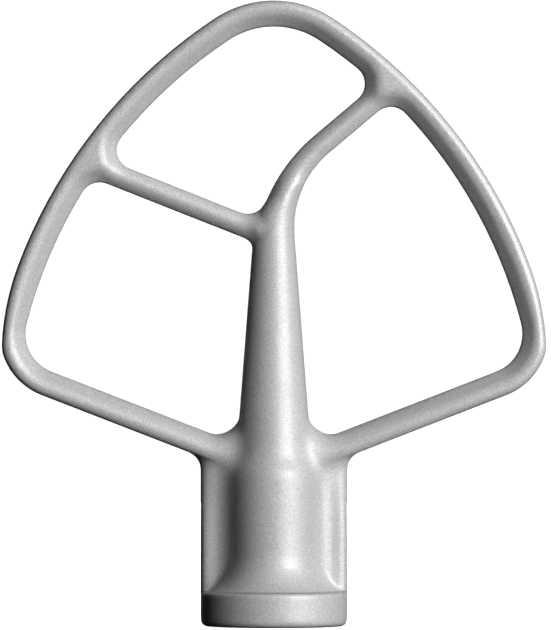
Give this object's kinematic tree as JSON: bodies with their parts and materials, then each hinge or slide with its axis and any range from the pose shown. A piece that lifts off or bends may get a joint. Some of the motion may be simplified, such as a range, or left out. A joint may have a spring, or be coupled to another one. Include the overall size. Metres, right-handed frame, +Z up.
{
  "type": "stand mixer flat beater",
  "caption": "Flat beater for a tilt-head stand mixer: a looped paddle with a cross bar and a curved strut on a round, winged hub with a blind shaft bore and a drive-pin slot.",
  "frame": {"origin": "on the bore's axis, in the plane of the hub's rim", "axes": "+Z up the bore's axis to the loop's tip, +X across the paddle, +Y to the side with the drive-pin slot"},
  "size_m": [0.135, 0.036, 0.155],
  "materials": {
    "coated_casting": "satin light grey coating"
  },
  "bodies": {
    "root": {"flat_beater": "coated_casting"}
  },
  "joints": []
}
